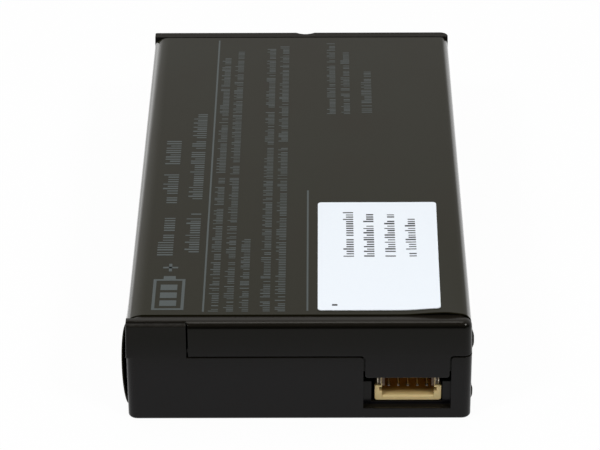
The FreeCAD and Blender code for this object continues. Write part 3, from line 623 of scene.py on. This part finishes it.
# %% A row of small bars
ROW_INPUTS = ("Baseline", "Start", "Level", "Pitch", "Weight", "Height", "Words", "Lift")
TALL_SHARE = 0.35
LOW_HEIGHT = 0.7
NARROWEST = 0.7
WIDEST = 1.3
BAR_POINTS = (4, 2)

row_tree = Growth("row", ("Count", "Seed"), *ROW_INPUTS)


# Random Value has sockets for each kind of data, so they are given by number.
def number_by_lot(low, high, shift):
    """A number between two others, drawn by lot for each bar."""
    ends = {2: low, 3: high, 8: row_tree.size("Seed") + shift}
    return row_tree.node("FunctionNodeRandomValue", {"data_type": "FLOAT"}, ends, 1)


def yes_by_lot(share, shift):
    """1 for a share of the bars and 0 for the others, drawn by lot."""
    ends = {6: share, 8: row_tree.size("Seed") + shift}
    return row_tree.node("FunctionNodeRandomValue", {"data_type": "BOOLEAN"}, ends, 3)


begin = row_tree.vector(row_tree.size("Baseline"), row_tree.size("Start"), row_tree.size("Level"))
step = row_tree.vector(0.0, row_tree.size("Pitch"), 0.0)
line = row_tree.node("GeometryNodeMeshLine", {}, {"Count": row_tree.size("Count"), 2: begin, 3: step})
plate = row_tree.node(
    "GeometryNodeMeshGrid",
    {},
    {"Size X": 1.0, "Size Y": 1.0, "Vertices X": BAR_POINTS[0], "Vertices Y": BAR_POINTS[1]},
)
bar = row_tree.node("GeometryNodeTransform", {}, {"Geometry": plate, "Translation": (-0.5, 0.5, 0.0)})
tall = yes_by_lot(TALL_SHARE, 1)
width = row_tree.size("Weight") * number_by_lot(NARROWEST, WIDEST, 2)
kept = yes_by_lot(row_tree.size("Words"), 3)
height = row_tree.size("Height") * (LOW_HEIGHT + (1 - LOW_HEIGHT) * tall)
size = row_tree.vector(height, row_tree.size("Pitch") * width, 1.0)
ends = {"Points": line, "Selection": kept, "Instance": bar, "Scale": size}
row = row_tree.node("GeometryNodeInstanceOnPoints", {}, ends)
bars = row_tree.node("GeometryNodeRealizeInstances", {}, {"Geometry": row})
x, y = row_tree.position()
ends = {"Geometry": bars, "Offset": row_tree.vector(0.0, 0.0, corner_lift(row_tree, x, y))}
row_tree.close(row_tree.node("GeometryNodeSetPosition", {}, ends))
print("row tree has", len(row_tree.tree.nodes), "nodes")

# %% [markdown]
# The ink is a little lighter than the film and a little bluer. It stands a few thousandths of a
# millimetre proud, as a screen-printed layer does. A place for a symbol holds a plain picture of a
# battery with its two poles, drawn from rectangles only. A row is its baseline, height, start, end,
# pitch and weight; a rectangle is two places in x and two in y. All but the weight are in millimetres.

# %% Rows and rectangles on the film
FILM_ROWS = (
    (-16.97, 2.1, -25.2, -13.4, 0.66, 0.48),
    (-16.97, 2.1, -10.9, 8.8, 0.66, 0.48),
    (-13.5, 1.95, -24.4, -12.9, 0.64, 0.48),
    (-13.5, 1.95, -9.8, 15.9, 0.64, 0.48),
    (-10.5, 1.3, -39.6, 34.2, 0.44, 0.42),
    (-8.55, 1.3, -39.6, 36.5, 0.44, 0.42),
    (-6.6, 1.2, -39.6, -20.4, 0.44, 0.42),
    (-3.8, 1.3, -39.6, 37.2, 0.44, 0.42),
    (-1.8, 1.35, -39.6, 37.9, 0.44, 0.42),
    (5.1, 1.25, 15.5, 38.9, 0.44, 0.42),
    (7.2, 1.3, 15.5, 36.4, 0.44, 0.42),
    (10.4, 1.5, 15.9, 29.7, 0.5, 0.42),
)
FILM_RECTANGLES = (
    (-12.57, -12.33, -39.7, 39.7),
    (0.98, 1.22, -39.5, -7.4),
    (-19.2, -18.8, -39.2, -31.4),
    (-15.4, -15.0, -39.2, -31.4),
    (-18.8, -15.4, -39.2, -38.8),
    (-18.8, -15.4, -31.8, -31.4),
    (-17.9, -16.3, -31.4, -30.6),
    (-18.2, -16.0, -38.2, -36.8),
    (-18.2, -16.0, -36.2, -34.8),
    (-18.2, -16.0, -34.2, -32.8),
    (-17.3, -16.9, -29.4, -27.4),
    (-18.1, -16.1, -28.6, -28.2),
)
print("film has", len(FILM_ROWS), "rows and", len(FILM_RECTANGLES), "rectangles")


# %% Printing
WORD_SHARE = 0.88
SEED_STEP = 10


def rectangles(places, level):
    """Flat rectangles, each from one x to another and from one y to another."""
    shape = bmesh.new()
    for left, right, near, far in places:
        corners = ((left, near), (right, near), (right, far), (left, far))
        shape.faces.new([shape.verts.new((x * MM, y * MM, level)) for x, y in corners])
    mesh = bpy.data.meshes.new("rectangles")
    shape.to_mesh(mesh)
    shape.free()
    return mesh


def printed(rows, places, level, finish, first_seed):
    """Rows of bars and rectangles in one mesh."""
    layers = [rectangles(places, level)]
    for seed, (baseline, height, start, end, pitch, weight) in enumerate(rows, first_seed):
        sizes = {"Count": int((end - start) / pitch), "Seed": SEED_STEP * seed}
        sizes.update({"Words": WORD_SHARE, "Weight": weight})
        sizes.update({"Baseline": baseline * MM, "Start": start * MM, "Level": level})
        sizes.update({"Pitch": pitch * MM, "Height": height * MM, "Lift": CORNER_LIFT})
        layers.append(row_tree.grow(finish, sizes))
    shape = bmesh.new()
    for layer in layers:
        shape.from_mesh(layer)
    mesh = bpy.data.meshes.new("print")
    shape.to_mesh(mesh)
    shape.free()
    mesh.materials.clear()
    mesh.materials.append(finish.material)
    return mesh


print("print can be laid on a sheet")

# %% Print on the film
INK_ABOVE = 0.008 * MM
INK_SPECK = 0.25 * MM
FILM_SEED = 1

ink = Finish("grey_ink", {"Specular IOR Level": 0.25})
speck = ink.noise(INK_SPECK)
ink.wear(
    ink.mix(speck, (0.042, 0.053, 0.052), (0.052, 0.063, 0.062)),
    0.35 + 0.1 * speck,
    ink.grain(speck, 0.004 * MM, 0.3),
)
film_layer = printed(FILM_ROWS, FILM_RECTANGLES, FILM_TOP + INK_ABOVE, ink, FILM_SEED)
show("film_print", film_layer, "film")

# %% Print on the sticker
STICKER_ROWS = (
    (7.3, 1.4, -25.8, -13.0, 0.62, 0.5),
    (10.05, 1.4, -25.8, -13.0, 0.62, 0.5),
    (12.9, 1.4, -25.8, -13.9, 0.62, 0.5),
    (15.7, 1.4, -25.8, -15.0, 0.62, 0.5),
)
STICKER_RECTANGLES = ((4.3, 5.0, -38.4, -38.0),)
STICKER_SEED = 21

dark_ink = Finish("dark_ink", {"Specular IOR Level": 0.25})
speck = dark_ink.noise(INK_SPECK)
dark_ink.wear(
    dark_ink.mix(speck, (0.02, 0.02, 0.022), (0.05, 0.05, 0.052)),
    0.45 + 0.1 * speck,
    dark_ink.grain(speck, 0.004 * MM, 0.3),
)
sticker_level = sticker_high.z + INK_ABOVE
sticker_layer = printed(STICKER_ROWS, STICKER_RECTANGLES, sticker_level, dark_ink, STICKER_SEED)
show("sticker_print", sticker_layer, "sticker")

# %% [markdown]
# ## The socket
# The socket is moulded from undyed nylon, cream and a little translucent. Painted shade turns it to
# amber further in from its front and inside its cavity, and to a deep dark colour at the two ends of
# the cavity, where the shade is deepest. Masks made from places tell how deep a point lies.

# %% Socket
NYLON_CLOUD = 1.2 * MM
NYLON_EDGE = 0.06 * MM
CAVITY_OUTER = 3.46 * MM
CAVITY_INNER = 3.38 * MM
RIB_HALF = 2.9 * MM
RIB_FADE = 0.1 * MM
CAVITY_FLOOR = 1.1 * MM
CAVITY_DARK = 1.5 * MM
DEPTH_START = 0.1 * MM
DEPTH_END = 2.4 * MM
socket_low, socket_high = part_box("socket_housing")
SOCKET_MIDDLE = (socket_low.x + socket_high.x) / 2

nylon = Finish("cream_nylon", {"Subsurface Weight": 0.05, "Subsurface Scale": 0.4 * MM})
milk = nylon.noise(NYLON_CLOUD)
soft_edge = nylon.node("ShaderNodeBevel", {"samples": EDGE_RAYS}, {"Radius": NYLON_EDGE})
x = nylon.node("ShaderNodeSeparateXYZ", {}, {0: nylon.place})
off = nylon.math("ABSOLUTE", x - SOCKET_MIDDLE)
between = nylon.ramp(off, CAVITY_OUTER, CAVITY_INNER)
beside = nylon.ramp(off, RIB_HALF, RIB_HALF + RIB_FADE)
high = nylon.ramp(x.also("Z"), socket_low.z + CAVITY_FLOOR, socket_low.z + CAVITY_DARK)
# Painted shade: amber further in from the front, and inside the cavity amber, dark at its two ends.
inwards = nylon.ramp(x.also("Y"), socket_low.y + DEPTH_START, socket_low.y + DEPTH_END)
cream = nylon.mix(milk, (0.55, 0.42, 0.185), (0.62, 0.48, 0.23))
walls = nylon.mix(inwards, cream, (0.5, 0.29, 0.065))
brown = nylon.mix(beside, (0.5, 0.27, 0.035), (0.08, 0.036, 0.006))
nylon.wear(
    nylon.mix(between * high, walls, brown),
    0.42 + 0.1 * milk,
    nylon.grain(nylon.noise(GRAIN), 0.006 * MM, 0.25, soft_edge),
)
dress(nylon, "socket_housing")
print("socket is", round((socket_high.x - socket_low.x) / MM, 1), "mm wide")

# %% [markdown]
# The five contacts and the two nails that hold the socket are tinned sheet metal. A contact carries a
# painted highlight along its ridge, dimmed at its tip, and is painted dark brown beside it for the dark
# cavity that it mirrors; Ping-Pong repeats that ridge at every pitch. The nails are dull all over, with
# bright specks.

# %% Contacts
TIN_GRAIN = 0.1 * MM
CONTACT_PITCH = 1.25 * MM
RIDGE_EDGE = 0.1 * MM
RIDGE_HALF = 0.05 * MM
TIP_START = 0.05 * MM
TIP_END = 0.3 * MM
TIP_SHINE = 0.1
contact_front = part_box("socket_pins")[0].y

tin = Finish("tinned_metal", {"Metallic": 0.2})
streak = tin.noise(TIN_GRAIN, (1, 0.2, 1))
x = tin.node("ShaderNodeSeparateXYZ", {}, {0: tin.place})
aside = tin.math("PINGPONG", x - SOCKET_MIDDLE, CONTACT_PITCH / 2)
# Painted highlight along each ridge; painted dark brown beside it for the dark cavity that the tin
# mirrors.
ridge = tin.ramp(aside, RIDGE_EDGE, RIDGE_HALF)
dull = tin.mix(streak, (0.05, 0.036, 0.02), (0.08, 0.06, 0.036))
behind = tin.ramp(x.also("Y"), contact_front + TIP_START, contact_front + TIP_END)
tin.wear(
    tin.mix(ridge * (TIP_SHINE + (1 - TIP_SHINE) * behind), dull, (0.9, 0.84, 0.72)),
    0.3 + 0.12 * streak,
    tin.grain(streak, 0.003 * MM, 0.2),
)
dress(tin, "socket_pins")
print("contacts stand", CONTACT_PITCH / MM, "mm apart")

# %% Nails
NAIL_SPECK = 0.25 * MM

nail_tin = Finish("dull_tin", {"Metallic": 1.0})
speck = nail_tin.ramp(nail_tin.noise(NAIL_SPECK), 0.5, 0.7)
nail_tin.wear(
    nail_tin.mix(speck, (0.2, 0.16, 0.11), (0.75, 0.7, 0.6)),
    0.42 - 0.15 * speck,
    nail_tin.grain(speck, 0.01 * MM, 0.3),
)
dress(nail_tin, "socket_nails")
print("socket dressed")

# %% [markdown]
# ## What the shells hide
# The cell, its strips and the small board are inside, and can be seen if a shell is taken off. Each
# gets a finish of its own: two colours, a roughness, how metallic it is, and how large its spots are.

# %% Finishes inside
INNER = (
    ("green_board", (0.008, 0.07, 0.028), (0.014, 0.1, 0.042), 0.4, 0.0, 1.5, ("circuit_board",)),
    ("black_epoxy", (0.008, 0.008, 0.009), (0.014, 0.014, 0.015), 0.55, 0.0, 0.2,
     ("gauge_chip", "protection_chip", "protection_fets", "chip_resistors", "thermistor")),
    ("tan_ceramic", (0.3, 0.19, 0.1), (0.36, 0.24, 0.14), 0.45, 0.0, 0.3, ("chip_capacitors",)),
    ("shunt_alloy", (0.3, 0.27, 0.23), (0.4, 0.36, 0.31), 0.35, 1.0, 0.3, ("sense_resistor",)),
    ("pale_ceramic", (0.6, 0.6, 0.57), (0.68, 0.68, 0.66), 0.5, 0.0, 0.3, ("board_fuse",)),
    ("drawn_aluminium", (0.62, 0.63, 0.64), (0.74, 0.75, 0.76), 0.3, 1.0, 0.6, ("cell",)),
    ("fibre_card", (0.3, 0.4, 0.42), (0.38, 0.48, 0.5), 0.75, 0.0, 0.4, ("lid_insulator",)),
    ("cutoff_shell", (0.01, 0.01, 0.011), (0.02, 0.02, 0.022), 0.4, 0.0, 0.5, ("thermal_cutoff",)),
    ("rolled_nickel", (0.6, 0.56, 0.5), (0.7, 0.66, 0.6), 0.26, 1.0, 0.3,
     ("link_strip", "negative_strip", "positive_strip")),
    ("grey_foam", (0.05, 0.05, 0.052), (0.11, 0.11, 0.113), 0.85, 0.0, 0.5, ("floor_pad", "roof_pad")),
)

for name, dark, light, rough, metallic, spot, nodes in INNER:
    inside = Finish(name, {"Metallic": metallic})
    spots = inside.noise(spot * MM)
    relief = inside.grain(spots, 0.01 * MM, 0.2)
    inside.wear(inside.mix(spots, dark, light), rough + 0.1 * spots, relief)
    dress(inside, *nodes)
print("finishes inside:", len(INNER))

# %% [markdown]
# ## Floor and light
# The photograph has a white ground and no strong shadow, so the pack stands on a white floor in a
# white room that is dark on the camera's side, with three soft lamps. Rays that go straight to the
# eye, or that come from a mirroring surface, see the floor nearly at full white; a share of lit
# floor keeps the soft shadow.

# %% Floor
FLOOR_SIZE = 4.0
FLOOR_GLOW = 0.96
FLOOR_MOTTLE = 40 * MM

floor_half = FLOOR_SIZE / 2 / MM
floor_mesh = rectangles(((-floor_half, floor_half, -floor_half, floor_half),), cad_box[0].z)
floor = bpy.data.objects.new("floor", floor_mesh)
bpy.context.scene.collection.objects.link(floor)


def is_seen(tree):
    """1 for rays to the eye, straight, by a mirror or through glass, and 0 for light that spreads."""
    path = tree.node("ShaderNodeLightPath", {}, {}, "Is Camera Ray")
    mirrored = tree.math("MAXIMUM", path, path.also("Is Glossy Ray"))
    return tree.math("MAXIMUM", mirrored, path.also("Is Transmission Ray"))


ground = Finish("white_floor", {"Specular IOR Level": 0.0})
mottle = ground.noise(FLOOR_MOTTLE)
ground.wear(
    ground.mix(mottle, (0.84, 0.84, 0.84), (0.88, 0.88, 0.88)),
    0.85 + 0.1 * mottle,
    ground.grain(mottle, 0.1 * MM, 0.05),
)
glow = ground.node("ShaderNodeEmission", {}, {"Color": (1.0, 1.0, 1.0, 1.0)})
lit = Value(ground, ground.shader.outputs[0])
shown = ground.node("ShaderNodeMixShader", {}, {0: FLOOR_GLOW * is_seen(ground), 1: lit, 2: glow})
ground.feed(ground.tree.nodes["Material Output"].inputs["Surface"], shown)
floor_mesh.materials.append(ground.material)
print("floor is", FLOOR_SIZE, "m wide")

# %% Room and lamps
ROOM_LIGHT = 0.75
ROOM_SHADE = 0.07
LEFT_GLOW = 0.7
SHADE_EDGE = 0.12
GLOW_START = -0.04
GLOW_FULL = -0.4
LAMPS = (
    ("overhead_lamp", (0.0, 0.0, 0.7), 0.2, 0.6),
    ("left_lamp", (-0.4, -0.35, 0.5), 0.15, 2.0),
    ("right_lamp", (0.4, -0.35, 0.5), 0.15, 2.0),
)

world = bpy.data.worlds.new("room")
bpy.context.scene.world = world
world.use_nodes = True
room = Tree(world.node_tree)
ray = room.node("ShaderNodeTexCoord", {}, {}, "Generated")
way = room.node("ShaderNodeSeparateXYZ", {}, {0: ray})
rear = ROOM_SHADE + (1 - ROOM_SHADE) * room.ramp(way.also("Y"), -SHADE_EDGE, SHADE_EDGE)
left = 1 + LEFT_GLOW * room.ramp(way, GLOW_START, GLOW_FULL)
seen = is_seen(room)
strength = rear * (ROOM_LIGHT * (1 - seen) + left * seen)
wall = world.node_tree.nodes["Background"]
wall.inputs["Color"].default_value = (1.0, 1.0, 1.0, 1.0)
room.feed(wall.inputs["Strength"], strength)

for name, place, size, power in LAMPS:
    lamp = bpy.data.objects.new(name, bpy.data.lights.new(name, "AREA"))
    lamp.data.energy = power
    lamp.data.size = size
    lamp.location = place
    lamp.rotation_euler = Vector(place).to_track_quat("Z", "Y").to_euler()
    bpy.context.scene.collection.objects.link(lamp)
    print(name, "gives", power, "W")

# %% [markdown]
# ## Finish
# The picture is shown without a film-like curve, so that colours come out as they were written.

# %% Show
bpy.context.scene.view_settings.view_transform = "Standard"
